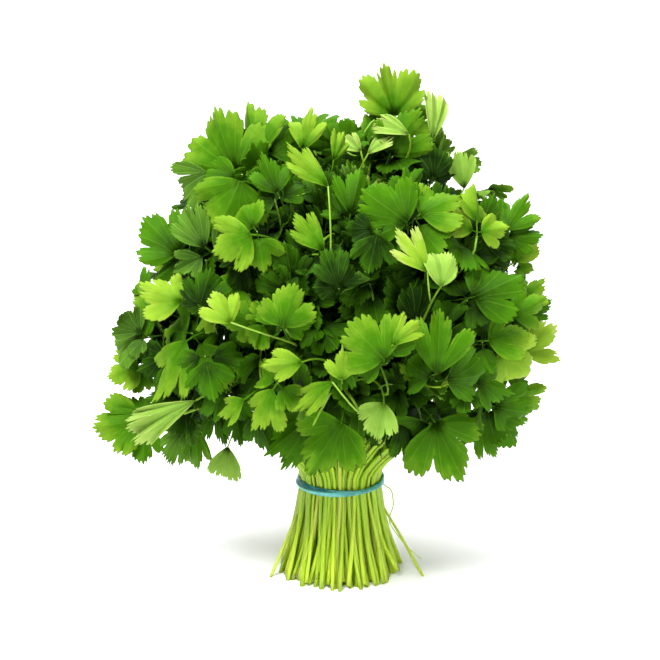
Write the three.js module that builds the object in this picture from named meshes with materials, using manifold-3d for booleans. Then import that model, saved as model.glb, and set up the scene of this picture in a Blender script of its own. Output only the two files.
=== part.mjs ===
// A tied bunch of fresh coriander, standing on its level cut ends: leafy sprigs, a rubber band
// wound twice round their stems, and a few stray stems. Millimetres, +Z up, and the origin is
// under the middle of the whole bunch, on the surface that it stands on.

import * as THREE from "three";
import { mergeVertices } from "three/addons/utils/BufferGeometryUtils.js";
import Module from "manifold-3d";

const wasm = await Module();
wasm.setup();

// Driving dimensions: lengths in millimetres, directions in degrees. An azimuth is counted from +X
// towards +Y, and a polar angle from straight up.
const sprigCount = 54;
const stemRadius = 1.7;
const neckHeight = 50; // the middle of the band
const neckRadius = 18.4; // to the outermost stem's middle line at the band
const footRadius = 31.5; // the same at the cut ends
const crownHeight = 152; // the centre that the leaf heads sit round
const crownRadius = 88; // the innermost layer of heads
const layerCount = 7;
const layerStep = 3.8;
const crownSpread = 138; // polar angle of the lowest heads
const headRadius = 26;
const headThickness = 1.5;
const headSides = 12;
const unevenCut = 2.5; // how much shorter the shortest stems are cut
const stemSides = 5;
const stemSteps = 10;
const neckHalf = 6; // how far the stems run straight above and below the band's middle
const kneeHeight = 20; // where the flare from the neck to the foot is at kneeShare
const kneeShare = 0.42;
const stubLength = 5; // how far a stem is drawn below its cut before it is trimmed
const stubFlare = 1.04;
const leanShare = 0.3; // how much of a sprig's polar angle its stem has as it leaves the band
const riseOuter = 30; // how far a stem keeps that direction, for the outermost stem
const riseInner = 14; // and how much further for the innermost
const endShare = 0.42; // the part of a stem's way that runs straight out to its head
const archShares = [0, 0.2, 0.4, 0.6, 0.8, 1];
const headLobes = 3;
const lobeShare = 0.42; // how far a head is drawn in between its lobes
const headRing = 0.55; // the ring in each face of a head that lets it bend
const headTwist = 1.2; // the most that one head is turned against another, in radians

// Where the crown bulges out past its round shape, or is drawn in: height is how far.
const crownBulges = [
  { azimuth: 8, polar: 14, height: 20, width: 17 }, // tallest shoots, at the right of the top
  { azimuth: 178, polar: 34, height: 9, width: 22 }, // shoots at the left of the top
  { azimuth: 184, polar: 112, height: 26, width: 28 }, // leaves that hang out low at the left
  { azimuth: -4, polar: 94, height: 11, width: 32 }, // reaching tips at the right
  { azimuth: 4, polar: 52, height: -7, width: 20 }, // a dip over the right shoulder
];

const bandSection = 1; // half the rubber's thickness
const bandSway = 1.5; // how far each turn of the band strays up and down
const bandSpread = 1.2; // how far one turn of the band lies outside the other
const bandGap = 0.35;
const bandLaps = 2;
const bandSteps = 64;
const bandSides = 6;

const strayStems = [
  { name: "stray_stem_right", azimuth: -1, foot: [44, -13], radius: 0.9 },
  { name: "stray_stem_left", azimuth: 193, foot: [-37, -14], radius: 0.9 },
  { name: "stray_stem_back", azimuth: 51, foot: [22, 35], radius: 0.9 },
];
const strayTop = 62;
const strayLean = 1.5; // how far a stray stem stands off at its top
const strayBend = 0.45;
const straySteps = 9;
const strayHalf = 7;
const strayStub = 4;

const goldenAngle = Math.PI * (3 - Math.sqrt(5));
const degree = Math.PI / 180;
const mergeDistance = 1e-4;

const leafGreen = new THREE.MeshStandardMaterial({
  color: 0x5f9c17,
  roughness: 0.55,
  metalness: 0,
});
const paleGreen = new THREE.MeshStandardMaterial({
  color: 0x9fc92c,
  roughness: 0.5,
  metalness: 0,
});
const tealRubber = new THREE.MeshStandardMaterial({
  color: 0x4aa3a5,
  roughness: 0.45,
  metalness: 0,
});

// A number from 0 to 1 that looks random but is always the same for the same sprig and salt.
function scatter(index, salt) {
  const wave = Math.sin(index * 12.9898 + salt * 78.233) * 43758.5453;
  return wave - Math.floor(wave);
}

// The unit vector at an azimuth and a polar angle in radians.
function heading(azimuth, polar) {
  const across = Math.sin(polar);
  return new THREE.Vector3(
    across * Math.cos(azimuth),
    across * Math.sin(azimuth),
    Math.cos(polar),
  );
}

// How far the crown bulges in a direction: a sum of bell-shaped bumps.
function bulge(direction) {
  let height = 0;
  for (const bump of crownBulges) {
    const centre = heading(bump.azimuth * degree, bump.polar * degree);
    const away = direction.angleTo(centre) / (bump.width * degree);
    height += bump.height * Math.exp(-away * away);
  }
  return height;
}

// A closed geometry as a solid, without the flat triangles that a lathe leaves at its poles.
function solidOf(geometry) {
  const bare = geometry.clone();
  bare.deleteAttribute("normal");
  bare.deleteAttribute("uv");
  const merged = mergeVertices(bare, mergeDistance);
  const corners = merged.index.array;
  const kept = [];
  for (let i = 0; i < corners.length; i += 3) {
    const [a, b, c] = corners.slice(i, i + 3);
    if (a !== b && b !== c && c !== a) kept.push(a, b, c);
  }
  return new wasm.Manifold(
    new wasm.Mesh({
      numProp: 3,
      vertProperties: merged.attributes.position.array,
      triVerts: new Uint32Array(kept),
    }),
  );
}

// A solid as a named mesh.
function meshOf(solid, material, name) {
  const made = solid.getMesh();
  const geometry = new THREE.BufferGeometry();
  geometry.setAttribute(
    "position",
    new THREE.BufferAttribute(made.vertProperties, 3),
  );
  geometry.setIndex(new THREE.BufferAttribute(made.triVerts, 1));
  geometry.computeVertexNormals();
  const mesh = new THREE.Mesh(geometry, material);
  mesh.name = name;
  return mesh;
}

// A round stem along a curve, as a prism of a few sides.
function stemSolid(points, radius, steps) {
  const section = new THREE.Shape();
  for (let side = 0; side < stemSides; side++) {
    const turn = (side / stemSides) * 2 * Math.PI;
    const x = radius * Math.cos(turn);
    const y = radius * Math.sin(turn);
    if (side === 0) section.moveTo(x, y);
    else section.lineTo(x, y);
  }
  section.closePath();
  const tube = new THREE.ExtrudeGeometry(section, {
    steps,
    bevelEnabled: false,
    extrudePath: new THREE.CatmullRomCurve3(points, false, "centripetal"),
  });
  return solidOf(tube);
}

// Where a sprig stands, leaves the band and ends. Sprigs are shared out by the golden angle, evenly
// over the neck and evenly over the crown, so their stems fan out without crossing.
function sprigPlace(index) {
  const share = (index + 0.5) / sprigCount;
  const azimuth = index * goldenAngle;
  const polar = Math.acos(1 - share * (1 - Math.cos(crownSpread * degree)));
  const outward = heading(azimuth, polar);
  const layer = crownRadius + layerStep * ((2 * index + 4) % layerCount);
  return { share, azimuth, polar, outward, reach: layer + bulge(outward) };
}

// Points along a sprig's stem: from below its cut, in a flare to the band, then in an arch that
// meets the crown head on.
function sprigPoints(place) {
  const { share, azimuth, polar, outward, reach } = place;
  const level = heading(azimuth, Math.PI / 2);
  const at = (radius, height) =>
    level.clone().multiplyScalar(radius).setZ(height);
  const neck = neckRadius * Math.sqrt(share);
  const foot = footRadius * Math.sqrt(share);
  const top = new THREE.Vector3(0, 0, crownHeight).addScaledVector(
    outward,
    reach,
  );
  const rise = riseOuter + riseInner * (1 - share);
  const out = heading(azimuth, leanShare * polar);
  const start = at(neck, neckHeight + neckHalf);
  const arch = new THREE.CubicBezierCurve3(
    start,
    start.clone().addScaledVector(out, rise),
    top.clone().addScaledVector(outward, -endShare * reach),
    top,
  );
  return [
    at(foot * stubFlare, -stubLength),
    at(foot, 0),
    at(neck + (foot - neck) * kneeShare, kneeHeight),
    at(neck, neckHeight - neckHalf),
    ...archShares.map((t) => arch.getPoint(t)),
  ];
}

// A leaf head: a thin plate of three lobes that lies on the crown, worked out from a lathed disc
// whose radius becomes an angle about the crown's centre.
function headSolid(place, twist) {
  const { outward, azimuth, polar, reach } = place;
  const profile = [
    new THREE.Vector2(0, 0),
    new THREE.Vector2(headRing, 0),
    new THREE.Vector2(1, 0),
    new THREE.Vector2(1, 1),
    new THREE.Vector2(headRing, 1),
    new THREE.Vector2(0, 1),
  ];
  const disc = new THREE.LatheGeometry(profile, headSides);
  const down = heading(azimuth, polar + Math.PI / 2);
  const side = new THREE.Vector3().crossVectors(down, outward);
  const position = disc.getAttribute("position");
  const spot = new THREE.Vector3();
  for (let i = 0; i < position.count; i++) {
    spot.fromBufferAttribute(position, i);
    const turn = Math.atan2(spot.z, spot.x) + twist;
    const wave = Math.abs(Math.cos((headLobes / 2) * (turn - twist)));
    const lobed = 1 - lobeShare + lobeShare * wave;
    const angle = (Math.hypot(spot.x, spot.z) * lobed * headRadius) / reach;
    const radius = reach + headThickness * (spot.y - 0.5);
    const around = down
      .clone()
      .multiplyScalar(Math.cos(turn))
      .addScaledVector(side, Math.sin(turn));
    const lifted = outward
      .clone()
      .multiplyScalar(Math.cos(angle))
      .addScaledVector(around, Math.sin(angle))
      .multiplyScalar(radius);
    position.setXYZ(i, lifted.x, lifted.y, lifted.z + crownHeight);
  }
  return solidOf(disc);
}

// One sprig: a stem and its leaf head in one piece, cut level at the bottom.
function sprig(index) {
  const place = sprigPlace(index);
  const cut = unevenCut * Math.max(0, 2 * scatter(index, 1) - 1);
  const stem = stemSolid(sprigPoints(place), stemRadius, stemSteps);
  const head = headSolid(place, (scatter(index, 2) - 0.5) * headTwist);
  const name = "sprig_" + String(index + 1).padStart(2, "0");
  const whole = stem.add(head).trimByPlane([0, 0, 1], cut);
  return meshOf(whole, leafGreen, name);
}

// The closed path of a band wound twice: it strays in and out and up and down by half a turn per
// lap, so its two laps cross in front and never touch.
class TwiceRound extends THREE.Curve {
  getPoint(share, target = new THREE.Vector3()) {
    const turn = share * bandLaps * 2 * Math.PI;
    const radius =
      neckRadius + stemRadius + bandGap + bandSection + bandSpread +
      bandSpread * Math.cos(turn / bandLaps);
    const angle = turn - Math.PI / 2;
    return target.set(
      radius * Math.cos(angle),
      radius * Math.sin(angle),
      neckHeight + bandSway * Math.sin(turn / bandLaps),
    );
  }
}

function rubberBand() {
  const tube = new THREE.TubeGeometry(
    new TwiceRound(),
    bandSteps,
    bandSection,
    bandSides,
    true,
  );
  return meshOf(solidOf(tube), tealRubber, "rubber_band");
}

// A thin stem with no leaf of its own, held under the band and splayed out at the foot.
function strayStem({ name, azimuth, foot, radius }) {
  const level = heading(azimuth * degree, Math.PI / 2);
  const edge = neckRadius + stemRadius - radius;
  const at = (height, r) => level.clone().multiplyScalar(r).setZ(height);
  const end = new THREE.Vector3(foot[0], foot[1], -strayStub);
  const points = [
    end,
    end.clone().lerp(at(neckHeight - strayHalf - 1, edge), strayBend),
    at(neckHeight - strayHalf, edge),
    at(neckHeight + strayHalf, edge),
    at(strayTop, edge + strayLean),
  ];
  const whole = stemSolid(points, radius, straySteps).trimByPlane([0, 0, 1], 0);
  return meshOf(whole, paleGreen, name);
}

const bunch = new THREE.Group();
for (let index = 0; index < sprigCount; index++) bunch.add(sprig(index));
bunch.add(rubberBand());
for (const stray of strayStems) bunch.add(strayStem(stray));

// Centre the whole bunch over the origin.
const box = new THREE.Box3().setFromObject(bunch);
const middle = box.getCenter(new THREE.Vector3());
bunch.position.set(-middle.x, -middle.y, 0);

export default bunch;
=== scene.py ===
import math

import bpy
import numpy as np
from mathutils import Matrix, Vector


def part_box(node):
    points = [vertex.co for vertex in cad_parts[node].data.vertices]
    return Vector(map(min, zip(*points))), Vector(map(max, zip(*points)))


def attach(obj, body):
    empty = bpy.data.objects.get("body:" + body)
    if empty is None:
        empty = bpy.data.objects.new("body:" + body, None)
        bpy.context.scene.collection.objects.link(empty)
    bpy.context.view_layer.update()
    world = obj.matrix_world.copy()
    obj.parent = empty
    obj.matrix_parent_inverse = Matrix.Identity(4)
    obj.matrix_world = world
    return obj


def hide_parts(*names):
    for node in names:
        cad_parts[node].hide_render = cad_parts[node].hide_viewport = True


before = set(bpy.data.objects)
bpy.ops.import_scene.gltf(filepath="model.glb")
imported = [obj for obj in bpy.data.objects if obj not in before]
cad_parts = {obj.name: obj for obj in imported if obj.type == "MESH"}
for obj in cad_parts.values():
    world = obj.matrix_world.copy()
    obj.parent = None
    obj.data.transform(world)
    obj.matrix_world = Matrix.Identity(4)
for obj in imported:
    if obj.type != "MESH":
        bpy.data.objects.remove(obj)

mm = 0.001
degree = math.pi / 180
goldenAngle = math.pi * (3 - math.sqrt(5))
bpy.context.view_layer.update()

# The bunch's own layout, in millimetres and degrees. It says the same as the CAD part, so that every
# stem and leaf head grows where its solid is.
bunch = {
    "sprigs": 54,
    "neckHeight": 50.0,
    "neckRadius": 18.4,
    "footRadius": 31.5,
    "crownHeight": 152.0,
    "crownRadius": 88.0,
    "layers": 7,
    "layerStep": 3.8,
    "crownSpread": 138.0,
    "unevenCut": 2.5,  # how far above the floor a cut end may be
    "bandSpread": 1.2,
    "bulges": [  # azimuth, polar angle, height, width
        (8, 14, 20, 17),
        (178, 34, 9, 22),
        (184, 112, 26, 28),
        (-4, 94, 11, 32),
        (4, 52, -7, 20),
    ],
}

bandLow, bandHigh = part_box("rubber_band")
axisX = (bandLow.x + bandHigh.x) / 2 / mm
axisY = (bandLow.y + bandHigh.y) / 2 / mm + bunch["bandSpread"] / 2
axis = np.array([axisX, axisY, 0.0])
crownCentre = np.array([axisX, axisY, bunch["crownHeight"]])
up = np.array([0, 0, 1.0])

cameraValues = {
    "elevation": 14.0,  # degrees above the horizon
    "lens": 85.0,
    "distance": 812.0,
    "aim": (-5.5, 0.0, 132.0),  # from the bunch's axis, on the floor
}


def makeCamera():
    # straight in front, raised by the elevation, looking at the aim point
    lift = cameraValues["elevation"] * degree
    aim = Vector(axis) + Vector(cameraValues["aim"])
    back = Vector((0, -math.cos(lift), math.sin(lift)))
    data = bpy.data.cameras.new("camera")
    data.lens = cameraValues["lens"]
    data.clip_start = 0.01
    camera = bpy.data.objects.new("camera", data)
    bpy.context.scene.collection.objects.link(camera)
    camera.location = (aim + back * cameraValues["distance"]) * mm
    camera.rotation_euler = (-back).to_track_quat("-Z", "Y").to_euler()
    bpy.context.scene.camera = camera


makeCamera()
print("camera ready")


def scatter(index, salt):
    # a number from 0 to 1, always the same for the same index and salt
    wave = math.sin(index * 12.9898 + salt * 78.233) * 43758.5453
    return wave - math.floor(wave)


def swing(index, salt, size=1.0):
    # the same, spread evenly either side of nought
    return (scatter(index, salt) * 2 - 1) * size


def unit(vector):
    # the same direction with length one, for one vector or an array of them
    vector = np.asarray(vector, float)
    return vector / (np.linalg.norm(vector, axis=-1, keepdims=True) + 1e-12)


def heading(azimuth, polar):
    # unit vector at an azimuth from +X and a polar angle from straight up, in radians
    across = math.sin(polar)
    return np.array([across * math.cos(azimuth), across * math.sin(azimuth), math.cos(polar)])


def bezier(controls, count):
    # points on a cubic Bezier curve, at even steps of its parameter
    t = np.linspace(0, 1, count)[:, None]
    a, b, c, d = [np.asarray(p, float) for p in controls]
    return (1 - t) ** 3 * a + 3 * (1 - t) ** 2 * t * b + 3 * (1 - t) * t**2 * c + t**3 * d


def smoothPath(points, count):
    # a Catmull-Rom curve through the points, sampled evenly by length
    points = np.asarray(points, float)
    padded = np.vstack([2 * points[0] - points[1], points, 2 * points[-1] - points[-2]])
    stepsPerSpan = 12
    t = np.linspace(0, 1, stepsPerSpan, endpoint=False)[:, None]
    spans = []
    for p0, p1, p2, p3 in zip(padded, padded[1:], padded[2:], padded[3:]):
        slope = p2 - p0
        square = 2 * p0 - 5 * p1 + 4 * p2 - p3
        cube = 3 * p1 - p0 - 3 * p2 + p3
        spans.append(0.5 * (2 * p1 + slope * t + square * t**2 + cube * t**3))
    dense = np.vstack(spans + [points[-1:]])
    run = np.r_[0, np.cumsum(np.linalg.norm(np.diff(dense, axis=0), axis=1))]
    even = np.linspace(0, run[-1], count)
    return np.stack([np.interp(even, run, dense[:, k]) for k in range(3)], axis=1)


upperFace, underFace, stemFace, cutFace = range(4)  # the order of skins, further down


def patch(points, quads, triangles, quadSkins, triangleSkins, **marks):
    # one closed surface: its points, its faces, the material of each face, marks on each point
    return dict(points=points, quads=quads, triangles=triangles, quadSkins=quadSkins,
                triangleSkins=triangleSkins, marks=marks)


def gridFaces(numbers):
    # the four corners of each cell in a grid of point numbers
    cells = np.stack([numbers[:-1, :-1], numbers[:-1, 1:], numbers[1:, 1:], numbers[1:, :-1]], -1)
    return cells.reshape(-1, 4)


def makePiece(name, patches, materials, node=None):
    # every patch goes into one mesh, in metres, quads first and then triangles
    offsets = np.cumsum([0] + [len(p["points"]) for p in patches])
    points = np.vstack([p["points"] for p in patches]) * mm
    quads = np.vstack([p["quads"] + o for p, o in zip(patches, offsets)])
    triangles = np.vstack([p["triangles"] + o for p, o in zip(patches, offsets)])
    skins = np.concatenate([p["quadSkins"] for p in patches] + [p["triangleSkins"] for p in patches])
    corners = np.concatenate([quads.ravel(), triangles.ravel()]).astype(np.int32)
    starts = np.concatenate([np.arange(len(quads)) * 4,
                             len(quads) * 4 + np.arange(len(triangles)) * 3]).astype(np.int32)
    mesh = bpy.data.meshes.new(name)
    mesh.vertices.add(len(points))
    mesh.vertices.foreach_set("co", points.astype(np.float32).ravel())
    mesh.loops.add(len(corners))
    mesh.loops.foreach_set("vertex_index", corners)
    mesh.polygons.add(len(starts))
    mesh.polygons.foreach_set("loop_start", starts)
    mesh.polygons.foreach_set("material_index", skins.astype(np.int32))
    mesh.update(calc_edges=True)
    mesh.polygons.foreach_set("use_smooth", np.ones(len(starts), bool))
    for mark in patches[0]["marks"]:
        values = np.concatenate([p["marks"][mark] for p in patches]).astype(np.float32)
        mesh.attributes.new(mark, "FLOAT", "POINT").data.foreach_set("value", values)
    for material in materials:
        mesh.materials.append(material)
    piece = bpy.data.objects.new(name, mesh)
    bpy.context.scene.collection.objects.link(piece)
    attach(piece, "root")
    if node:
        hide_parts(node)


def tube(path, radii, sides, tone, skin=stemFace, capSkin=cutFace, flatEnd=None):
    # a circle of the given radius carried along the path; both ends are closed with a fan
    path = np.asarray(path, float)
    count = len(path)
    along = unit(np.gradient(path, axis=0))
    chord = unit(path[-1] - path[0])
    helper = np.eye(3)[np.argmin(np.abs(chord))]
    side = unit(np.cross(along, helper))
    other = np.cross(along, side)
    turn = np.arange(sides) / sides * 2 * math.pi
    radii = np.broadcast_to(radii, count)
    ring = (side[:, None] * np.cos(turn)[:, None] + other[:, None] * np.sin(turn)[:, None])
    points = path[:, None] + ring * radii[:, None, None]
    if flatEnd is not None:
        points[0, :, 2] = flatEnd
    numbers = np.arange(count * sides).reshape(count, sides)
    around = np.arange(sides)
    after = (around + 1) % sides
    last = (count - 1) * sides
    first = np.full(sides, count * sides)
    triangles = np.vstack([np.stack([first, after, around], 1),
                           np.stack([first + 1, last + around, last + after], 1)])
    ends = np.stack([points[0].mean(0), points[-1].mean(0)])
    total = count * sides + 2
    return patch(
        np.vstack([points.reshape(-1, 3), ends]),
        gridFaces(np.pad(numbers, ((0, 0), (0, 1)), "wrap")),
        triangles,
        np.full((count - 1) * sides, skin),
        np.r_[np.full(sides, capSkin), np.full(sides, skin)],
        tone=np.full(total, tone),
        leafAngle=np.r_[np.tile(turn, count), 0, 0],
        leafReach=np.zeros(total),
    )


leafletValues = {
    "lobes": 3,
    "parts": 9,
    "teeth": 27,
    "narrow": 56.0,  # degrees either side of the midrib, for the narrowest leaflet
    "broad": 92.0,
    "shoulder": 2.4,  # how square the fan's outline is, for the least square leaflet
    "shoulderSwing": 1.2,
    "slit": 0.5,  # how deep the narrow slits between lobes go
    "lobeCut": 0.08,  # how much each lobe, part and tooth is rounded off
    "partCut": 0.13,
    "toothCut": 0.105,
    "slitSharpness": 0.16,  # lower is narrower
    "lobeSharpness": 1.0,
    "partSharpness": 0.3,
    "toothSharpness": 0.65,
    "fold": (0.1, 0.28),  # the usual bend and how far it strays: along the midrib, to the tip, twisted
    "droop": (0.3, 0.75),
    "curl": (0.0, 0.4),
    "lobeCup": 0.1,  # how much each lobe and part is cupped
    "partCup": 0.014,
    "rings": (0.3, 0.56, 0.78, 0.955, 1.0),  # the last is the margin
    "coarseRings": (0.4, 0.72, 0.95, 1.0),
    "thickness": 0.3,
}


def notch(share, count, sharp):
    # 1 at the bottom of each cut between the lobes and 0 at their tips
    return 1 - np.abs(np.sin(count * share * math.pi)) ** sharp


def leafletOutline(share, seed, lobes, cutting=None):
    # how far the blade reaches from its base in each direction, and its number along the margin:
    # a rounded fan, slit into lobes, the lobes scalloped into parts and the parts into round teeth
    values = leafletValues
    side = 2 * share - 1
    shoulder = values["shoulder"] + values["shoulderSwing"] * scatter(seed, 10)
    reach = (1 - np.abs(side) ** shoulder * 0.97) ** 0.55
    reach *= 1 + swing(seed, 3, 0.1) * np.sin(1.5 * side) + 0.04 * np.cos(3 * side + seed)
    middle = np.sin(math.pi * share)
    warped = share + middle * (0.02 * np.sin(4 * math.pi * share + seed) + swing(seed, 5, 0.015))
    if cutting is None:
        cutting = 0.5 + 0.8 * scatter(seed, 9)  # some leaflets are hardly cut, others deeply
    slit = values["slit"] * cutting * (1 + 0.25 * np.sin(3 * side + seed * 1.7))
    lobeCut = values["lobeCut"] * cutting
    partCut = values["partCut"] * (1 + 0.8 * np.sin(7 * side + seed))
    toothCut = values["toothCut"] * (0.25 + 0.75 * middle)
    reach *= (1 - slit * notch(warped, lobes, values["slitSharpness"])
              - lobeCut * notch(warped, lobes, values["lobeSharpness"]))
    reach *= 1 - partCut * notch(warped, values["parts"], values["partSharpness"])
    reach *= 1 - toothCut * notch(warped, values["teeth"], values["toothSharpness"])
    return reach, warped


def leafBlade(base, grow, face, size, tone, seed, fine, shape=None):
    # a polar grid about the leaf base, folded along its midrib, bent towards its tip and cupped in
    # each lobe, with an upper and a lower skin that meet at the margin
    values = leafletValues
    shape = shape or {}

    def own(name, salt):
        # the shape's own bend, or the usual one with the leaflet's own stray
        usual, stray = values[name]
        return shape.get(name, usual + swing(seed, salt, stray))

    spread = shape.get("spread", values["narrow"] + (values["broad"] - values["narrow"]) * scatter(seed, 8))
    columns = values["teeth"] * max(2, fine - 1) + 1
    along = np.linspace(0, 1, columns)
    angle = (2 * along - 1) * spread * degree
    share = np.array(values["rings"] if fine > 3 else values["coarseRings"][3 - fine:])
    rings = len(share)
    lobes = shape.get("lobes", values["lobes"])
    outline, warped = leafletOutline(along, seed, lobes, shape.get("cut"))
    grid = share[:, None] * outline[None, :]
    u = grid * np.sin(angle)
    v = grid * np.cos(angle)
    w = -own("fold", 21) * (np.sqrt(u**2 + 0.01) - 0.1)
    w -= values["lobeCup"] * grid**2 * np.cos(2 * math.pi * lobes * warped)
    w -= values["partCup"] * grid**2 * np.cos(2 * math.pi * values["parts"] * warped)
    w += 0.12 * grid**3 * np.sin(4.1 * angle + seed) + 0.035 * grid**3 * np.sin(9.3 * angle + 2 * seed)
    w += swing(seed, 25, 0.2) * grid**4
    w += own("curl", 23) * 0.5 * u * v
    droop = own("droop", 22)
    droop = droop if abs(droop) > 0.02 else 0.02  # never flat, so it can be divided by
    bend = v * droop
    lowered = w * np.cos(bend) - (1 - np.cos(bend)) / droop
    forward = np.sin(bend) / droop + w * np.sin(bend)
    face = unit(face - grow * np.dot(face, grow))
    side = np.cross(grow, face)
    surface = base + size * (u[..., None] * side + forward[..., None] * grow + lowered[..., None] * face)
    normal = unit(np.cross(np.gradient(surface, axis=1), np.gradient(surface, axis=0)))
    inward = np.ones((rings, columns))
    inward[-1] = 0
    inward[:, 0] = inward[:, -1] = 0
    offset = normal * (values["thickness"] / 2 * inward)[..., None]
    top = (surface + offset).reshape(-1, 3)
    bottom = (surface - offset).reshape(-1, 3)
    count = rings * columns
    index = np.arange(count).reshape(rings, columns)
    shared = inward == 0
    under = np.where(shared, index, 0)
    under[~shared] = count + np.arange((~shared).sum())
    points = np.vstack([top, bottom[~shared.ravel()], base[None]])
    tip = len(points) - 1

    def skinFaces(numbers, flip):
        quads = gridFaces(numbers)
        fan = np.stack([np.full(columns - 1, tip), numbers[0, 1:], numbers[0, :-1]], -1)
        return (quads[:, ::-1], fan[:, ::-1]) if flip else (quads, fan)

    topQuads, topFan = skinFaces(index, False)
    lowQuads, lowFan = skinFaces(under, True)
    reach = np.broadcast_to(share[:, None], (rings, columns))
    wide = np.broadcast_to(warped[None, :], (rings, columns))
    inner = ~shared.ravel()
    return patch(
        points,
        np.vstack([topQuads, lowQuads]),
        np.vstack([topFan, lowFan]),
        np.r_[np.full(len(topQuads), upperFace), np.full(len(lowQuads), underFace)],
        np.r_[np.full(len(topFan), upperFace), np.full(len(lowFan), underFace)],
        tone=np.full(len(points), tone),
        leafAngle=np.r_[wide.ravel(), wide.ravel()[inner], 0.5],
        leafReach=np.r_[reach.ravel(), reach.ravel()[inner], 0],
    )


leafValues = {
    "rachis": 0.44,  # from the first stalk to the end leaflet, as a share of that leaflet
    "sideAt": 0.35,  # where the side leaflets leave it
    "sideAngle": 62.0,
    "sideSize": 0.76,
    "stalk": 0.16,  # length of a side stalk as a share of the leaflet
    "stalkRadius": 0.28,
    "stalkTone": 0.12,  # how much paler a stalk is than its leaflet
}


def compoundLeaf(base, grow, face, size, tone, seed, fine):
    # the end leaflet grows straight on, and a pair leaves the rachis below it, one to each side
    values = leafValues
    face = unit(face - grow * np.dot(face, grow))
    side = np.cross(grow, face)
    rachis = size * values["rachis"]
    end = base + grow * rachis - face * rachis * 0.08
    stalkTone = tone + values["stalkTone"]
    spine = bezier([base, base + grow * rachis * 0.4, end - grow * rachis * 0.3, end + grow * size * 0.05], 5)
    forward = unit(grow + face * swing(seed, 30, 0.25) + side * swing(seed, 31, 0.2))
    tilt = unit(face + side * swing(seed, 32, 0.35))
    patches = [tube(spine, np.linspace(0.5, 0.3, 5), 5, stalkTone, upperFace),
               leafBlade(end, forward, tilt, size, tone, seed, fine)]
    start = base + grow * rachis * values["sideAt"]
    for hand in (-1, 1):
        number = seed * 7 + hand
        angle = values["sideAngle"] * degree + swing(number, 33, 0.3)
        out = unit(grow * math.cos(angle) + side * hand * math.sin(angle) + face * swing(number, 34, 0.35))
        length = size * values["sideSize"] * (1 + swing(number, 35, 0.2))
        foot = start + out * length * values["stalk"] - face * 0.4
        stalk = bezier([start, start + out * 1.5, foot - out * 1.2, foot + out * 0.8], 4)
        tilt = unit(face + side * hand * (0.1 + swing(number, 36, 0.45)))
        patches.append(tube(stalk, values["stalkRadius"], 5, stalkTone, upperFace))
        patches.append(leafBlade(foot, out, tilt, length, tone + swing(number, 37, 0.07), number, fine))
    return patches


sprigValues = {
    "footThickness": 1.2,
    "neckThickness": 1.0,
    "tipThickness": 0.7,
    "leafSize": 20.0,
    "petioleRadius": 0.62,
    "clear": 19.0,  # leaves nearer than this to a front leaflet are sunk behind it and painted darker, as painted shade
    "sink": 15.0,
    "leftOut": ((0, 4), (1, 4), (8, 1), (21, 1), (22, 4), (46, 5), (51, 5)),  # sprig and leaf, for a gap
    "missing": 0.2,  # the share of the outer leaves that are left out, for gaps
    "deeper": -30,  # leaves from this depth down are the inner ones, painted darkest as painted shade
    # painted shade: the inner leaves get this tone, and the others get darker by this much for each
    # millimetre of depth
    "innerPaintedShade": 0.03,
    "paintedShadeByDepth": 0.012,
    "palerShare": 0.08,  # so many of the leaves are paler, by this much
    "paler": 0.4,
    "hollow": dict(azimuth=-88, polar=84, width=36, depth=11.0, tone=0.22),  # the front is sunk here, and its leaves are painted darker by tone, as painted shade
    "topDrop": 27.0,  # leaves on the very top are kept this much lower than the shoots there
    "leaves": [  # angle from the sprig's tip, turn round it, depth below the crown, size, mesh fineness
        (0.0, 0, -14, 1.05, 4),
        (13.5, 40, -14, 0.95, 3),
        (13.5, 160, -18, 0.85, 3),
        (13.5, 280, -23, 0.9, 3),
        (8.5, 220, -10, 0.8, 3),
        (17.0, 340, -12, 0.7, 3),
        (8.0, 100, -32, 1.0, 2),
        (8.0, 280, -41, 1.0, 2),
        (11.0, 200, -54, 1.1, 2),
    ],
}


def bell(direction, azimuth, polar, width):
    # 1 where the direction meets the bump's middle, falling to 0 with the square of the angle between
    centre = heading(azimuth * degree, polar * degree)
    away = math.acos(max(-1, min(1, float(np.dot(direction, centre))))) / (width * degree)
    return math.exp(-away * away)


def bulge(direction):
    # how far the crown stands out in a direction: a sum of bell-shaped bumps
    return sum(rise * bell(direction, azimuth, polar, width)
               for azimuth, polar, rise, width in bunch["bulges"])


def sprigPlace(index):
    # sprigs are shared out by the golden angle, evenly over the neck and over the crown
    share = (index + 0.5) / bunch["sprigs"]
    azimuth = index * goldenAngle
    polar = math.acos(1 - share * (1 - math.cos(bunch["crownSpread"] * degree)))
    outward = heading(azimuth, polar)
    layer = bunch["crownRadius"] + bunch["layerStep"] * ((2 * index + 4) % bunch["layers"])
    return dict(share=share, azimuth=azimuth, polar=polar, outward=outward,
                reach=layer + bulge(outward))


def sprigPath(place, cut):
    # from the cut, in a flare to the band, then in an arch that meets the crown head on
    share, azimuth, outward = place["share"], place["azimuth"], place["outward"]
    level = heading(azimuth, math.pi / 2)

    def at(radius, height):
        return axis + level * radius + up * height

    neck = bunch["neckRadius"] * math.sqrt(share)
    foot = bunch["footRadius"] * math.sqrt(share)
    top = crownCentre + outward * place["reach"]
    out = heading(azimuth, 0.3 * place["polar"])
    start = at(neck, bunch["neckHeight"] + 6)
    controls = [start, start + out * (30 + 14 * (1 - share)), top - outward * 0.42 * place["reach"], top]
    flare = [at(foot, cut), at(neck + (foot - neck) * 0.42, bunch["neckHeight"] * 0.4),
             at(neck, bunch["neckHeight"] - 6)]
    return np.vstack([flare, bezier(controls, 6)])


def leaflet(base, tip, spread, tone, **more):
    # its base and its tip, its half-angle in degrees and its tone from deep (0) to pale (1)
    return dict(base=base, tip=tip, spread=spread, tone=tone, **more)
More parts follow.
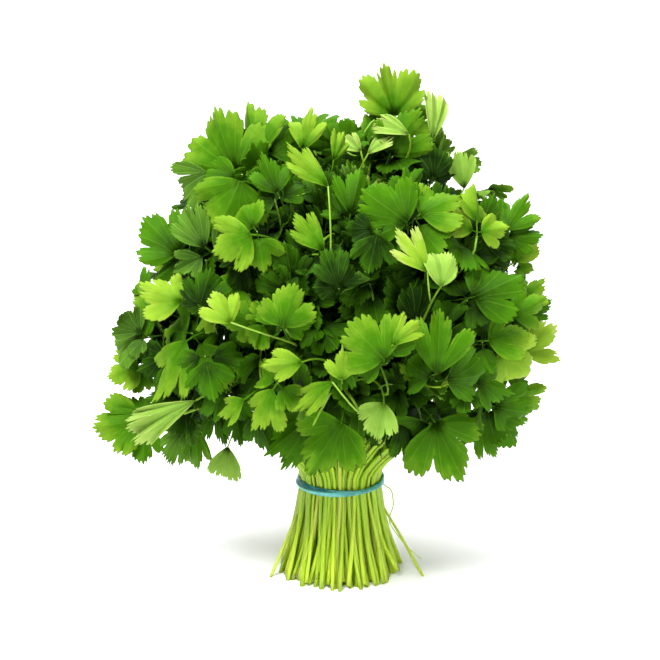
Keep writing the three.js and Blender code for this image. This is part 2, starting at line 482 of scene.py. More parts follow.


# The leaflets that stand out from the front, given one by one, in millimetres to the right of the bunch's
# axis, behind it and above the floor. "under" shows its underside to the front, "alone" has none beside
# it, and "stalk" is where its stalk goes first.
frontLeaflets = [
    # the top
    leaflet((27, 0, 243), (23, 0, 268), 66, 0.5, cut=0.9, droop=0.12, curl=0.1, fold=0.08, lobes=5),
    leaflet((46, 0, 230), (51, 0, 258), 19, 0.72, cut=0.7, under=True, stalk=(-3, 0, -14)),
    leaflet((63, 0, 206), (60, 0, 226), 32, 0.6, under=True, fold=0.5),
    leaflet((34, -20, 236), (15, -19, 245), 24, 0.72, under=True, fold=0.5),
    leaflet((46, -14, 214), (43, -12, 231), 74, 0.02, cut=0.3),
    leaflet((24, -18, 226), (36, -16, 246), 60, 0.35),
    leaflet((-19, -25, 229), (-15, -20, 251), 36, 0.55, cut=1.2),
    leaflet((-6, -66, 217), (-24, -60, 236), 22, 0.55, fold=0.7, stalk=(2, -17, -25)),
    leaflet((-4, -40, 226), (3, -38, 240), 26, 0.5, fold=0.4),
    leaflet((4, -66, 204), (9, -64, 228), 40, 0.3, cut=1.3),
    leaflet((10, -22, 228), (1, -20, 236), 34, 0.75, under=True, fold=0.5),
    leaflet((13, -22, 227), (24, -20, 235), 30, 0.75, under=True, fold=0.6),
    # the upper left
    leaflet((-52, -22, 218), (-61, -18, 248), 70, 0.4, cut=1.1, droop=0.2),
    leaflet((-40, -20, 227), (-48, -14, 252), 52, 0.4, cut=1.1, stalk=(14, -50, -30)),
    leaflet((-66, -19, 217), (-85, -14, 206), 50, 0.2, alone=True, under=True, cut=1.2),
    leaflet((-48, -58, 219), (-57, -66, 196), 66, 0.4, cut=0.8),
    leaflet((-42, -77, 197), (-61, -75, 187), 58, 0.5, cut=0.8),
    leaflet((-80, -38, 180), (-97, -32, 197), 66, 0.3, cut=0.8),
    leaflet((-66, -44, 184), (-78, -42, 204), 40, 0.2, under=True, fold=0.4),
    leaflet((-30, -64, 214), (-36, -60, 230), 50, 0.25),
    # the left
    leaflet((-77, -56, 160), (-95, -50, 167), 62, 0.62, cut=0.8, stalk=(11, 6, 4)),
    leaflet((-51, -92, 158), (-59, -89, 174), 50, 0.64, cut=1.1, stalk=(22, 4, -9)),
    leaflet((-66, -80, 164), (-62, -80, 180), 60, 0.1, cut=0.8),
    leaflet((-103, -20, 118), (-119, -22, 114), 66, 0.5, cut=0.8),
    leaflet((-100, -26, 134), (-117, -24, 128), 60, 0.2, under=True),
    leaflet((-92, -24, 148), (-101, -22, 162), 48, 0.45),
    leaflet((-75, -57, 141), (-92, -55, 112), 40, 0.48, cut=1.5, droop=0.3),
    leaflet((-64, -78, 136), (-61, -80, 117), 58, 0.25),
    leaflet((-84, -44, 128), (-78, -46, 108), 52, 0.15),
    # the low left, which hangs out
    leaflet((-70, -64, 113), (-110, -56, 92), 15, 0.7, under=True, fold=0.35, cut=0.6),
    leaflet((-102, -30, 92), (-124, -34, 89), 66, 0.42, cut=0.9, droop=0.2),
    leaflet((-96, -28, 95), (-116, -30, 96), 20, 0.3),
    leaflet((-80, -30, 104), (-98, -34, 106), 50, 0.12),
    leaflet((-58, -26, 77), (-61, -30, 58), 38, 0.6, cut=0.6, under=True),
    leaflet((-76, -32, 95), (-70, -34, 62), 17, 0.38, cut=0.5),
    leaflet((-81, -26, 86), (-89, -30, 71), 44, 0.2, under=True),
    leaflet((-63, -38, 104), (-58, -42, 84), 40, 0.14, alone=True),
    leaflet((-52, -44, 102), (-50, -48, 86), 46, 0.2, alone=True, fold=0.4),
    leaflet((-42, -56, 104), (-35, -58, 84), 50, 0.15, alone=True),
    leaflet((-32, -86, 125), (-43, -84, 105), 38, 0.5, fold=0.5),
    leaflet((-46, -80, 118), (-61, -76, 109), 34, 0.5, fold=0.3),
    leaflet((-56, -66, 118), (-72, -64, 106), 46, 0.25),
    # the middle
    leaflet((-27, -97, 158), (-22, -99, 176), 78, 0.42, cut=1.1),
    leaflet((-18, -101, 142), (-36, -100, 140), 38, 0.58, fold=0.35),
    leaflet((0, -103, 134), (0, -106, 147), 52, 0.58, cut=1.6),
    leaflet((-4, -101, 133), (-21, -100, 121), 24, 0.5, fold=0.6, stalk=(15, -2, -20)),
    leaflet((19, -103, 144), (4, -106, 163), 76, 0.42, cut=1.3, fold=0.3, droop=0.2),
    leaflet((23, -102, 150), (34, -100, 164), 28, 0.6, cut=1.2),
    leaflet((39, -97, 183), (26, -97, 202), 28, 0.68, cut=1.4, stalk=(1, 3, -18)),
    leaflet((45, -96, 176), (47, -95, 192), 46, 0.66, cut=0.15, under=True),
    leaflet((44, -93, 134), (46, -95, 164), 42, 0.35, cut=1.5, droop=0.15),
    leaflet((46, -88, 126), (57, -87, 137), 16, 0.8),
    leaflet((30, -80, 203), (10, -78, 217), 70, 0.3, cut=1.0),
    leaflet((16, -84, 198), (14, -86, 180), 56, 0.12),
    leaflet((-8, -84, 190), (-21, -82, 207), 28, 0.45, fold=0.5),
    leaflet((-2, -92, 176), (-8, -94, 192), 44, 0.1),
    # over the band
    leaflet((0, -72, 104), (-14, -76, 83), 74, 0.36, cut=0.95, droop=0.25, alone=True),
    leaflet((-12, -60, 106), (-34, -62, 88), 56, 0.25, cut=0.8, alone=True),
    leaflet((-12, -54, 100), (-29, -56, 76), 40, 0.3, cut=0.9),
    leaflet((10, -62, 112), (24, -64, 96), 60, 0.2, cut=0.8, alone=True),
    leaflet((20, -86, 118), (14, -87, 102), 60, 0.62, cut=1.0, under=True),
    # the right
    leaflet((36, -76, 206), (54, -70, 216), 62, 0.42, cut=1.0),
    leaflet((88, -15, 171), (92, -12, 188), 64, 0.55, cut=0.5),
    leaflet((82, -20, 188), (95, -14, 207), 40, 0.35, cut=1.5),
    leaflet((66, -40, 190), (74, -38, 208), 56, 0.15),
    leaflet((92, -20, 125), (109, -20, 139), 60, 0.62, cut=1.2),
    leaflet((77, -58, 137), (97, -52, 119), 60, 0.62, cut=1.1),
    leaflet((70, -66, 143), (90, -62, 147), 54, 0.4, cut=1.2),
    leaflet((62, -73, 166), (84, -66, 176), 70, 0.25, cut=0.9),
    leaflet((84, -44, 150), (102, -38, 158), 52, 0.4, cut=1.2),
    leaflet((64, -76, 126), (82, -70, 118), 50, 0.25, cut=1.0),
    leaflet((76, -46, 104), (98, -42, 98), 56, 0.3, cut=1.2),
    leaflet((88, -24, 104), (105, -22, 92), 52, 0.45, cut=1.1),
    leaflet((70, -40, 92), (80, -40, 76), 44, 0.35, cut=1.2),
    leaflet((46, -58, 100), (60, -58, 73), 66, 0.36, cut=1.2, droop=0.2),
    leaflet((30, -54, 99), (39, -56, 78), 44, 0.12, cut=1.0),
    leaflet((90, -14, 150), (104, -12, 162), 46, 0.45, cut=1.0),
    leaflet((94, -12, 142), (108, -10, 150), 40, 0.25, cut=0.8),
    leaflet((78, -34, 98), (92, -32, 78), 46, 0.3, cut=1.0),
]


def ownerOf(one, places):
    # the sprig whose shoulder is nearest to the leaflet's base
    base = axis + one["base"]
    shoulders = np.array([crownCentre + place["outward"] * (place["reach"] - 30) for place in places])
    return int(np.argmin(np.linalg.norm(shoulders - base, axis=1)))


frontValues = {
    "broader": 1.3,  # the half-angles in the list are widened this much, up to the widest
    "widest": 98.0,
    "droop": 0.55,
    "fold": 0.24,
    "sideSize": 0.68,
    "sideFrom": 38,  # leaflets with at least this half-angle have a smaller one at each side,
    "sideBelow": 0.57,  # if they are less pale than this
    "sideAngle": 72.0,
    "sideTone": -0.1,
    "stalkTone": 0.83,  # for a stalk that shows; the others are nearly as green as their leaflet
}


def frontLeaflet(one, path, number):
    # one leaflet between its base and its tip, facing the front and a little up, with a smaller one
    # behind it at each side, on a stalk that bends back to its sprig
    values = frontValues
    tone = one["tone"]
    base, tip = axis + one["base"], axis + one["tip"]
    size = np.linalg.norm(tip - base) * 1.05
    grow = unit(tip - base)
    front = np.array([swing(number, 44, 0.45), -1.0, 0.45 + swing(number, 45, 0.35)])
    face = -front if one.get("under") else front
    face = unit(face - grow * np.dot(face, grow))
    shape = {"droop": values["droop"] * (0.6 + 0.8 * scatter(number, 47)), "fold": values["fold"],
             "curl": swing(number, 46, 0.8), **one}
    shape["spread"] = max(one["spread"], min(values["widest"], one["spread"] * values["broader"]))
    if one.get("under"):
        shape["droop"] = -abs(shape["droop"])
    patches = [leafBlade(base, grow, face, size, tone, number, 6, shape)]
    side = np.cross(grow, face)
    if one["spread"] >= values["sideFrom"] and tone < values["sideBelow"] and not one.get("alone"):
        root = base - grow * size * 0.12 - face * 1.2
        for hand in (-1, 1):
            seed = number * 5 + hand
            angle = values["sideAngle"] * degree + swing(seed, 33, 0.35)
            out = unit(grow * math.cos(angle) + side * hand * math.sin(angle) - face * 0.3)
            length = size * values["sideSize"] * (1 + swing(seed, 35, 0.25))
            foot = root + out * length * 0.2 - face * 1.0
            stalk = bezier([root, root + out * 1.2, foot - out, foot + out * 0.6], 4)
            tilt = unit(face + side * hand * 0.2 + grow * swing(seed, 36, 0.3))
            patches.append(tube(stalk, leafValues["stalkRadius"], 5, tone, upperFace))
            patches.append(leafBlade(foot, out, tilt, length, tone + values["sideTone"], seed, 4))
    shows = "stalk" in one
    away = np.array(one["stalk"], float) if shows else -grow * 7 + unit(crownCentre - base) * 9
    start = path[-8]
    span = np.linalg.norm(start - base)
    stalk = bezier([start, start + unit(path[-7] - path[-9]) * span * 0.3, base + away * 1.6,
                    base + grow * 0.6], 14)
    stalkTone = values["stalkTone"] if shows else tone + leafValues["stalkTone"]
    patches.append(tube(stalk, np.linspace(0.7, 0.42, 14), 6, stalkTone, stemFace if shows else upperFace))
    return patches


def leafPose(spot, away, number):
    # which way a leaf at a spot on the crown grows, and which way its upper side faces: the top
    # stands up, the sides reach out and up, and the lowest hang
    radial = unit(spot - crownCentre)
    rise = 0.35 if radial[2] > -0.1 else 0.35 + 1.1 * (radial[2] + 0.1)
    grow = radial * 0.35 + away * 0.75 + up * rise
    grow = unit(grow + np.array([swing(number, 41), swing(number, 42), swing(number, 43)]) * 0.4)
    level = unit(np.array([radial[0], radial[1], 0.0]))
    face = radial * 0.75 + level * 0.45 * max(0.0, radial[2]) + up * 0.3 * (1 - abs(radial[2]))
    face = unit(face + np.array([swing(number, 44), swing(number, 45), swing(number, 46)]) * 0.45)
    return grow, face


def makeSprig(index, place, fronts, middles, materials):
    # a stem along the sprig's path, its leaves on petioles round its tip, each on a ray from the crown's
    # centre, and the front leaflets that it owns
    values, hollow = sprigValues, sprigValues["hollow"]
    cut = bunch["unevenCut"] * max(0.0, 2 * scatter(index, 1) - 1)
    path = smoothPath(sprigPath(place, cut), 26)
    thick = np.interp(np.linspace(0, 1, len(path)), [0, 0.3, 1],
                      [values["footThickness"], values["neckThickness"], values["tipThickness"]])
    usualTone = 0.26 + swing(index, 50, 0.16)
    patches = [tube(path[:-3], thick[:-3], 9, 0.5 + swing(index, 51, 0.4), flatEnd=cut)]
    outward = place["outward"]
    down = heading(place["azimuth"], place["polar"] + math.pi / 2)
    side = np.cross(down, outward)
    for k, (off, turn, depth, scale, fine) in enumerate(values["leaves"]):
        number = index * 11 + k
        inner = depth <= values["deeper"]
        gone = off and not inner and scatter(number, 84) < values["missing"]
        if gone or (index, k) in values["leftOut"]:
            continue
        off += swing(number, 60, 3.0) if off else 0
        turn += swing(number, 61, 35)
        around = down * math.cos(turn * degree) + side * math.sin(turn * degree)
        ray = unit(outward * math.cos(off * degree) + around * math.sin(off * degree))
        lower = values["topDrop"] * max(0.0, ray[2]) ** 6
        spot = crownCentre + ray * (place["reach"] + depth + swing(number, 62, 3) - lower)
        crowded = np.linalg.norm(middles - spot, axis=1).min() < values["clear"]
        if crowded:
            spot -= ray * values["sink"]
        within = bell(ray, hollow["azimuth"], hollow["polar"], hollow["width"])
        spot -= ray * hollow["depth"] * within
        grow, face = leafPose(spot, unit(around), number)
        size = values["leafSize"] * scale * (0.78 + 0.5 * scatter(number, 81))
        spot = spot - grow * size * 0.55
        # painted shade: the tone, which the leaf and its petiole carry, is lowered with depth and in the
        # front hollow, set to the inner tone for inner leaves, and kept dark for crowded leaves
        tone = usualTone + (depth + 12) * values["paintedShadeByDepth"] + swing(number, 82, 0.16)
        tone += values["paler"] if scatter(number, 83) > 1 - values["palerShare"] else 0
        tone -= hollow["tone"] * within
        tone = values["innerPaintedShade"] if inner else max(0.0, min(tone, 0.12 if crowded else 1.0))
        start = path[-4 - (3 + k if depth < -25 else k)]
        span = np.linalg.norm(spot - start)
        stalk = bezier([start, start + unit(start - path[-10]) * span * 0.4, spot - grow * span * 0.35,
                        spot + grow], 9)
        patches.append(tube(stalk, np.linspace(values["petioleRadius"], 0.5, 9), 6, 0.1 + 0.5 * tone))
        patches += compoundLeaf(spot, grow, face, size, tone, number, fine)
    for number, one in fronts:
        patches += frontLeaflet(one, path, number)
    name = "sprig_" + str(index + 1).zfill(2)
    makePiece("leafy_" + name, patches, materials, name)


def makeSprigs(materials):
    # every sprig, each with the front leaflets that grow nearest to it
    places = [sprigPlace(index) for index in range(bunch["sprigs"])]
    owners = [ownerOf(one, places) for one in frontLeaflets]
    middles = np.array([np.add(one["base"], one["tip"]) / 2 for one in frontLeaflets]) + axis
    for index, place in enumerate(places):
        fronts = [(1000 + k, one) for k, one in enumerate(frontLeaflets) if owners[k] == index]
        makeSprig(index, place, fronts, middles, materials)


def linear(code):
    # an sRGB hex colour as linear numbers
    channels = [int(code[k:k + 2], 16) / 255 for k in (1, 3, 5)]
    bent = [c / 12.92 if c <= 0.04045 else ((c + 0.055) / 1.055) ** 2.4 for c in channels]
    return (*bent, 1.0)


def add(tree, kind, inputs=None, stops=(), **settings):
    # one node with its settings; an input is a number, a colour, the socket that feeds it, or a node
    # whose first output does; a ramp's stops are positions with their colours
    node = tree.nodes.new("ShaderNode" + kind)
    for key, value in settings.items():
        setattr(node, key, value)
    for key, value in (inputs or {}).items():
        if isinstance(value, bpy.types.Node):
            value = value.outputs[0]
        if isinstance(value, bpy.types.NodeSocket):
            tree.links.new(value, node.inputs[key])
        else:
            node.inputs[key].default_value = value
    if stops:
        ramp = node.color_ramp.elements
        ramp[0].position, ramp[1].position = stops[0][0], stops[-1][0]
        for position, code in stops[1:-1]:
            ramp.new(position)
        for element, (position, code) in zip(ramp, stops):
            element.color = linear(code)
    return node


def newMaterial(name):
    # a material with an empty node tree
    material = bpy.data.materials.new(name)
    material.use_nodes = True
    material.node_tree.nodes.clear()
    return material, material.node_tree


leafLooks = {
    # deep, the near-black end of each ramp, is partly the leaf's own dark green and partly painted shade,
    # reached through the lowered tones of inner and deeper leaves
    "upper": dict(name="freshLeafUpper", deep="#0c2301", mid="#376503", bright="#7a9a26", pale="#b6b577",
                  vein="#7aa32c", rough=0.6, veins=0.16, glow="#86a926"),
    "under": dict(name="freshLeafUnderside", deep="#2c4c10", mid="#517a1e", bright="#77993a", pale="#a6b861",
                  vein="#93b05a", rough=0.68, veins=0.34, glow="#8fb52a"),
    "mottle": 7.0,  # mm
    "grain": 0.9,  # mm, the puckers between the finest veins, drawn coarse enough to show
    "throughLight": 0.12,
    "shine": 0.05,
    "bumpHeight": 0.26,  # mm
    "paintedBaseShade": 0.34,  # painted shade: how much darker the base of a blade, where its neighbours shade it, is than its margin
    "mottled": 0.3,
    "darker": 0.4,
    "fineVein": (50.0, 6.0),  # how thin a vein is at the margin, beyond how thin it is at the base
    "partVein": (160.0, 12.0),
}


def makeLeafMaterial(look):
    # fresh leaf: a waxy cuticle that is softly glossy above and matt below, with paler veins and
    # light that comes through the blade
    material, tree = newMaterial(look["name"])
    tone = add(tree, "Attribute", attribute_name="tone").outputs["Fac"]
    angle = add(tree, "Attribute", attribute_name="leafAngle").outputs["Fac"]
    reach = add(tree, "Attribute", attribute_name="leafReach").outputs["Fac"]
    place = add(tree, "TexCoord").outputs["Object"]
    mottle = add(tree, "TexNoise", {"Vector": place, "Scale": 1 / (leafLooks["mottle"] * mm),
                                    "Detail": 4.0, "Roughness": 0.6})
    grain = add(tree, "TexNoise", {"Vector": place, "Scale": 1 / (leafLooks["grain"] * mm), "Detail": 2.0})
    # painted shade: a blade is deepest near its stalk, where its neighbours shade it, and palest at its
    # margin
    rise = add(tree, "Math", {0: reach, 1: leafLooks["paintedBaseShade"], 2: tone}, operation="MULTIPLY_ADD")
    mixed = add(tree, "Math", {0: mottle, 1: leafLooks["mottled"], 2: rise}, operation="MULTIPLY_ADD")
    level = add(tree, "Math", {0: mixed, 1: leafLooks["darker"]}, operation="SUBTRACT")
    ramp = add(tree, "ValToRGB", {"Fac": level}, stops=(
        (0.0, look["deep"]), (0.36, look["mid"]), (0.68, look["bright"]), (0.95, look["pale"])))
    # fine veins run from the base to each tooth, strong ones to each part of each lobe
    def veinLines(count, margin, base):
        wave = add(tree, "Math", {0: angle, 1: count * math.pi}, operation="MULTIPLY")
        wave = add(tree, "Math", {0: wave}, operation="SINE")
        wave = add(tree, "Math", {0: wave}, operation="ABSOLUTE")
        sharp = add(tree, "Math", {0: reach, 1: margin, 2: base}, operation="MULTIPLY_ADD")
        return add(tree, "Math", {0: wave, 1: sharp}, operation="POWER")

    fineVein = veinLines(leafletValues["teeth"], *leafLooks["fineVein"])
    partVein = veinLines(leafletValues["parts"], *leafLooks["partVein"])
    veins = add(tree, "Math", {0: fineVein, 1: 0.25, 2: partVein}, operation="MULTIPLY_ADD", use_clamp=True)
    veinShare = add(tree, "Math", {0: veins, 1: look["veins"]}, operation="MULTIPLY")
    colour = add(tree, "Mix", {"Factor": veinShare, "A": ramp, "B": linear(look["vein"])}, data_type="RGBA")
    height = add(tree, "Math", {0: veins, 1: 0.4, 2: grain}, operation="MULTIPLY_ADD")
    bump = add(tree, "Bump", {"Height": height, "Strength": 0.5, "Distance": leafLooks["bumpHeight"] * mm})
    shader = add(tree, "BsdfPrincipled",
                 {"Base Color": colour.outputs["Result"], "Roughness": look["rough"], "IOR": 1.45,
                  "Specular IOR Level": leafLooks["shine"], "Normal": bump})
    glow = add(tree, "Mix", {"Factor": 0.5, "A": colour.outputs["Result"], "B": linear(look["glow"])},
               data_type="RGBA")
    through = add(tree, "BsdfTranslucent", {"Color": glow.outputs["Result"], "Normal": bump})
    both = add(tree, "MixShader", {"Fac": leafLooks["throughLight"], 1: shader, 2: through})
    add(tree, "OutputMaterial", {"Surface": both})
    return material


stemLooks = {
    "foot": "#d3e83f",
    "neck": "#b0d328",
    "crown": "#6b9a20",
    "shade": "#7aa71a",
    "tan": "#b9b45a",  # for the dry ones, and as painted light on the thin stray stems, washed out by the light behind them
    "streak": "#86b219",
    "streakSize": (1.43, 1.43, 22.2),  # mm, across, across and along
    "ribs": 9,
    "ribHeight": 0.3,  # beside the streaks
    "rough": 0.38,
    "throughLight": 0.22,
}


def makeStemMaterial():
    # fresh stem: smooth juicy skin with fine lengthwise ribs, paler where light was kept off it
    material, tree = newMaterial("freshStemSkin")
    tone = add(tree, "Attribute", attribute_name="tone").outputs["Fac"]
    turn = add(tree, "Attribute", attribute_name="leafAngle").outputs["Fac"]
    place = add(tree, "TexCoord").outputs["Object"]
    split = add(tree, "SeparateXYZ", {0: place})
    rise = add(tree, "MapRange", {"Value": split.outputs["Z"], "From Min": 0.0, "From Max": 0.12})
    ramp = add(tree, "ValToRGB", {"Fac": rise}, stops=(
        (0.0, stemLooks["foot"]), (0.42, stemLooks["neck"]), (1.0, stemLooks["crown"])))
    scale = [1 / (size * mm) for size in stemLooks["streakSize"]]
    stretched = add(tree, "Mapping", {"Vector": place, "Scale": scale})
    streak = add(tree, "TexNoise", {"Vector": stretched, "Scale": 1.0, "Detail": 3.0})
    streakShare = add(tree, "MapRange", {"Value": streak, "From Min": 0.35,
                                         "From Max": 0.75, "To Max": 0.45})
    streaked = add(tree, "Mix", {"Factor": streakShare, "A": ramp,
                                 "B": linear(stemLooks["streak"])}, data_type="RGBA")
    shade = add(tree, "MapRange", {"Value": tone, "From Min": 0.0, "From Max": 0.8, "To Min": 0.55,
                                   "To Max": 0.0})
    streaked = add(tree, "Mix", {"Factor": shade, "A": streaked.outputs["Result"],
                                 "B": linear(stemLooks["shade"])}, data_type="RGBA")
    isTan = add(tree, "MapRange", {"Value": tone, "From Min": 0.8, "From Max": 0.95, "To Max": 0.5})
    colour = add(tree, "Mix", {"Factor": isTan, "A": streaked.outputs["Result"],
                               "B": linear(stemLooks["tan"])}, data_type="RGBA")
    ribs = add(tree, "Math", {0: turn, 1: stemLooks["ribs"]}, operation="MULTIPLY")
    ribs = add(tree, "Math", {0: ribs}, operation="SINE")
    height = add(tree, "Math", {0: ribs, 1: stemLooks["ribHeight"], 2: streak}, operation="MULTIPLY_ADD")
    bump = add(tree, "Bump", {"Height": height, "Strength": 0.4, "Distance": 0.12 * mm})
    shader = add(tree, "BsdfPrincipled",
                 {"Base Color": colour.outputs["Result"], "Roughness": stemLooks["rough"], "IOR": 1.42,
                  "Normal": bump})
    through = add(tree, "BsdfTranslucent", {"Color": colour.outputs["Result"]})
    both = add(tree, "MixShader", {"Fac": stemLooks["throughLight"], 1: shader, 2: through})
    add(tree, "OutputMaterial", {"Surface": both})
    return material


def makeCutMaterial():
    # cut flesh: wet and pale, mottled with darker strands
    material, tree = newMaterial("cutStemFlesh")
    place = add(tree, "TexCoord").outputs["Object"]
    noise = add(tree, "TexNoise", {"Vector": place, "Scale": 1 / (0.5 * mm), "Detail": 2.0})
    colour = add(tree, "Mix", {"Factor": noise, "A": linear("#dfe9a4"),
                               "B": linear("#a9c65c")}, data_type="RGBA")
    shader = add(tree, "BsdfPrincipled", {"Base Color": colour.outputs["Result"], "Roughness": 0.3,
                                          "IOR": 1.38})
    add(tree, "OutputMaterial", {"Surface": shader})
    return material


rubberLooks = {
    # deep is the strip's teal in painted shade and pale its teal in painted highlight
    "deep": "#12626a",
    "pale": "#68bcb9",
    "bloom": 2.5,  # mm
    "lineSize": (8.3, 8.3, 0.385),  # mm, along the strip and across it
}


def makeRubberMaterial():
    # cut rubber strip: smooth and slightly waxy, with chalky bloom and fine stretch lines, and painted light
    # from the band's tone mark
    material, tree = newMaterial("tealRubberStrip")
    place = add(tree, "TexCoord").outputs["Object"]
    bloom = add(tree, "TexNoise", {"Vector": place, "Scale": 1 / (rubberLooks["bloom"] * mm), "Detail": 5.0})
    # the tone mark is painted light, a paler upper edge and a darker lower edge; the bloom is the rubber's
    # own
    tone = add(tree, "Attribute", attribute_name="tone").outputs["Fac"]
    level = add(tree, "Math", {0: tone, 1: 0.45, 2: bloom}, operation="MULTIPLY_ADD")
    ramp = add(tree, "ValToRGB", {"Fac": level}, stops=(
        (0.2, rubberLooks["deep"]), (0.85, rubberLooks["pale"])))
    scale = [1 / (size * mm) for size in rubberLooks["lineSize"]]
    stretched = add(tree, "Mapping", {"Vector": place, "Scale": scale})
    lines = add(tree, "TexNoise", {"Vector": stretched, "Scale": 1.0, "Detail": 2.0})
    bump = add(tree, "Bump", {"Height": lines, "Strength": 0.35, "Distance": 0.1 * mm})
    shader = add(tree, "BsdfPrincipled", {"Base Color": ramp, "Roughness": 0.42,
                                          "IOR": 1.52, "Normal": bump})
    add(tree, "OutputMaterial", {"Surface": shader})
    return material


skins = [makeLeafMaterial(leafLooks["upper"]), makeLeafMaterial(leafLooks["under"]), makeStemMaterial(),
         makeCutMaterial()]
rubber = makeRubberMaterial()
print("materials ready")

makeSprigs(skins)
print("sprigs ready:", sum(len(m.polygons) for m in bpy.data.meshes), "faces")


stemValues = {
    "candidates": 1500,
    "gap": 1.52,  # between the middles of two stems in the neck
    "outer": 21.8,  # radius of the neck
    "radius": 0.86,
    "footFlare": 1.46,
    "unevenCut": 4.5,
    "taper": (1.38, 0.85),  # thickness at the foot and at the top, as a share of the radius
    "points": 16,
    "sides": 8,
}


def makeOtherStems(materials):
    # a golden-angle spiral of candidates, taken from the outside in; one that would touch a stem
    # already there is passed over; each goes from its cut in a flare to the band and leans out above it
    values, neck, outer = stemValues, bunch["neckHeight"], stemValues["outer"]
    taken = []
    for index in range(bunch["sprigs"]):
        place = sprigPlace(index)
        level = heading(place["azimuth"], math.pi / 2)
        taken.append(level[:2] * bunch["neckRadius"] * math.sqrt(place["share"]))
    groups = {"right": [], "back": [], "left": [], "front": []}
    for number in range(values["candidates"] - 1, 0, -1):
        share = number / values["candidates"]
        radius = outer * math.sqrt(share)
        azimuth = number * goldenAngle
        level = heading(azimuth, math.pi / 2)
        spot = radius * level[:2]
        if min(np.linalg.norm(np.array(taken) - spot, axis=1)) < values["gap"]:
            continue
        taken.append(spot)
        foot = radius * values["footFlare"] * (1 + swing(number, 90, 0.07))
        footLevel = heading(azimuth + swing(number, 91, 0.26), math.pi / 2)
        between = radius + (foot - radius) * (0.4 + swing(number, 95, 0.12))
        polar = math.acos(1 - share * (1 - math.cos(bunch["crownSpread"] * degree)))
        lean = heading(azimuth, 0.32 * polar)
        cut = values["unevenCut"] * max(0.0, 1.7 * scatter(number, 92) - 0.7)
        above = axis + level * radius + up * (neck + 7)
        path = smoothPath([
            axis + footLevel * foot + up * cut,
            axis + unit(level + footLevel) * between + up * neck * 0.42,
            axis + level * radius + up * (neck - 6),
            above,
            above + lean * 24,
            above + lean * 46 + level * 6 * share,
        ], values["points"])
        thick = values["radius"] * (1 + swing(number, 93, 0.22))
        radii = np.linspace(*values["taper"], values["points"]) * thick
        quarter = list(groups)[int(((azimuth / (2 * math.pi)) % 1) * 4)]
        groups[quarter].append(tube(path, radii, values["sides"], 0.5 + swing(number, 94, 0.5), flatEnd=cut))
    for name, patches in groups.items():
        makePiece("tied_stems_" + name, patches, materials)
    print("other stems:", sum(len(patches) for patches in groups.values()))


makeOtherStems(skins)


bandValues = {
    "radius": 22.6,
    "spread": 0.45,  # half the way between its two laps
    "sway": 1.6,  # how far it strays up and down
    "section": (0.65, 1.2),  # half its thickness and half its width
    "steps": 260,
    "sides": 14,
}


def makeBand():
    # a flat strip carried twice round the neck: it strays in and out and up and down by half a
    # turn per lap, so its two laps cross, and it twists as it goes
    steps, sides = bandValues["steps"], bandValues["sides"]
    turn = np.arange(steps) / steps * 4 * math.pi
    radius = bandValues["radius"] + bandValues["spread"] * np.cos(turn / 2)
    angle = turn - math.pi / 2
    height = bunch["neckHeight"] + bandValues["sway"] * np.sin(turn / 2 - 0.26)
    out = np.stack([np.cos(angle), np.sin(angle), np.zeros(steps)], 1)
    centre = axis + out * radius[:, None] + up * height[:, None]
    roll = (0.75 * np.sin(1.5 * turn + 0.6) + 0.3 * np.sin(2.5 * turn))[:, None]
    corner = np.arange(sides) / sides * 2 * math.pi
    thin, tall = [half * np.sign(wave) * np.abs(wave) ** 0.5
                  for half, wave in zip(bandValues["section"], (np.cos(corner), np.sin(corner)))]
    thinWay = out * np.cos(roll) + up * np.sin(roll)
    tallWay = up * np.cos(roll) - out * np.sin(roll)
    points = centre[:, None] + thinWay[:, None] * thin[None, :, None] + tallWay[:, None] * tall[None, :, None]
    numbers = np.arange(steps * sides).reshape(steps, sides)
    quads = gridFaces(np.pad(numbers, ((0, 1), (0, 1)), "wrap").T)
    # painted light: the tone mark paints the upper edge of the strip paler, as painted highlight, and its
    # lower edge darker, as painted shade; it also changes slowly along the laps
    streak = np.sin(corner)[None, :] * 0.5 + 0.5 * np.sin(0.5 * turn + 2.0)[:, None]
    strip = patch(points.reshape(-1, 3), quads, np.zeros((0, 3), int), np.zeros(len(quads)), np.zeros(0),
                  tone=streak.ravel())
    makePiece("twisted_band", [strip], [rubber], "rubber_band")


makeBand()


strayValues = {
    "feet": {  # azimuth at the neck, and the place of the foot from the axis
        "stray_stem_right": (-1, (44, -13, 0)),
        "stray_stem_left": (193, (-37, -14, 0)),
        "stray_stem_back": (51, (22, 35, 0)),
    },
    "radii": (0.85, 0.6),
    "tendrilRadii": (0.42, 0.22),
    "tendril": [(20, -4, 53), (23, -6, 49), (27, -7, 46), (28, -8, 38), (26, -9, 30), (30, -11, 23),
                (36, -13, 16), (43, -16, 11)],
}


def makeStrays(materials):
    # thin stems from under the band to the floor, and a dry tendril that curls out beside them
    neck = bunch["neckHeight"]
    edge = bunch["neckRadius"] + 0.8
    for name, (azimuth, foot) in strayValues["feet"].items():
        level = heading(azimuth * degree, math.pi / 2)
        end = axis + np.array(foot, float)
        below = axis + level * edge + up * (neck - 7)
        path = smoothPath([end, end * 0.55 + below * 0.45, below, axis + level * edge + up * (neck + 7),
                           axis + level * (edge + 1.5) + up * (neck + 12)], 18)
        # painted light: the thin stems get a pale, partly tan tone, as if washed out by the light behind them
        stem = tube(path, np.linspace(*strayValues["radii"], 18), 8, 0.86, flatEnd=0.0)
        makePiece("thin_" + name, [stem], materials, name)
    path = smoothPath(np.array(strayValues["tendril"], float) + axis, 40)
    tendril = tube(path, np.linspace(*strayValues["tendrilRadii"], 40), 6, 0.9)
    makePiece("dry_tendril", [tendril], materials)


makeStrays(skins)
print("band and strays ready")


stageValues = {  # metres
    "halfWidth": 3.0,
    "run": (-2.5, -1, 0, 1.0, 1.4, 1.7, 1.9, 2.0, 2.0),
    "lift": (0, 0, 0, 0, 0.06, 0.2, 0.45, 0.9, 3.0),
    "grey": 0.9,
}


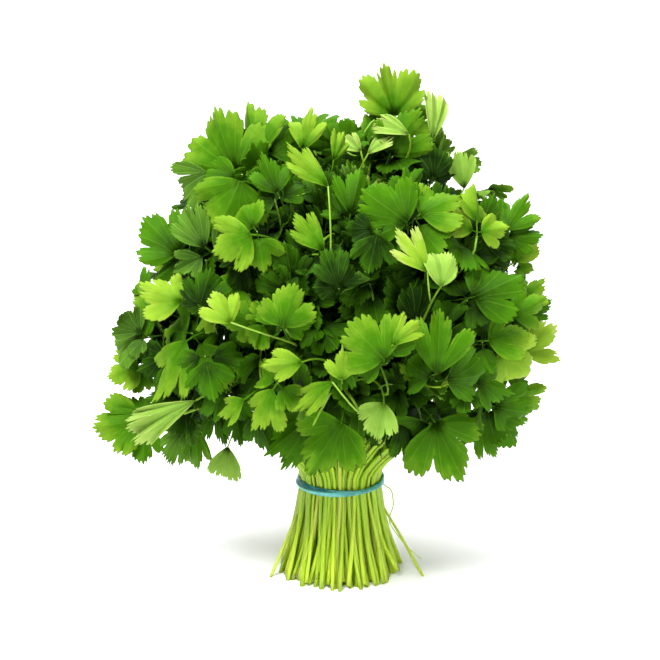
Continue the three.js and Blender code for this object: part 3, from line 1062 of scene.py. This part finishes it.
def makeStage():
    # a pale floor that runs up into a pale wall behind the bunch: its profile carried across
    run, lift = np.array(stageValues["run"]), np.array(stageValues["lift"])
    across = np.linspace(-1, 1, 5) * stageValues["halfWidth"]
    wide = len(run)
    points = np.stack([np.repeat(across, wide), np.tile(run, 5), np.tile(lift, 5)], -1)
    quads = gridFaces(np.arange(5 * wide).reshape(5, wide).T)
    mesh = bpy.data.meshes.new("stage")
    mesh.from_pydata(points.tolist(), [], quads.tolist())
    mesh.polygons.foreach_set("use_smooth", np.ones(len(mesh.polygons), bool))
    material, tree = newMaterial("paleStage")
    shader = add(tree, "BsdfPrincipled", {"Base Color": (*[stageValues["grey"]] * 3, 1), "Roughness": 0.9})
    add(tree, "OutputMaterial", {"Surface": shader})
    mesh.materials.append(material)
    stage = bpy.data.objects.new("stage", mesh)
    bpy.context.scene.collection.objects.link(stage)


lightValues = {  # metres and watts, and the strength of the world
    "lamps": {
        "key": dict(place=(-0.4, -0.8, 1.25), aim=(0, 0, 0.14), size=0.65, power=46.5),
        "fill": dict(place=(0.9, -0.9, 0.5), aim=(0, 0, 0.14), size=0.9, power=10.5),
        "backdrop": dict(place=(0, 0.7, 1.9), aim=(0, 1.4, 0), size=1.6, power=70.0),
    },
    "world": 0.07,
}


def makeLights():
    # round soft lamps, each turned to its aim, and a faint even white all round
    for name, value in lightValues["lamps"].items():
        data = bpy.data.lights.new(name, "AREA")
        data.shape = "DISK"
        data.size = value["size"]
        data.energy = value["power"]
        light = bpy.data.objects.new(name, data)
        bpy.context.scene.collection.objects.link(light)
        light.location = value["place"]
        light.rotation_euler = (Vector(value["aim"]) - light.location).to_track_quat("-Z", "Y").to_euler()
    world = bpy.data.worlds.new("world")
    world.use_nodes = True
    world.node_tree.nodes.clear()
    sky = add(world.node_tree, "Background", {"Color": (1, 1, 1, 1), "Strength": lightValues["world"]})
    add(world.node_tree, "OutputWorld", {"Surface": sky})
    bpy.context.scene.world = world
    bpy.context.scene.view_settings.view_transform = "Standard"


makeStage()
makeLights()
print("stage and lights ready")
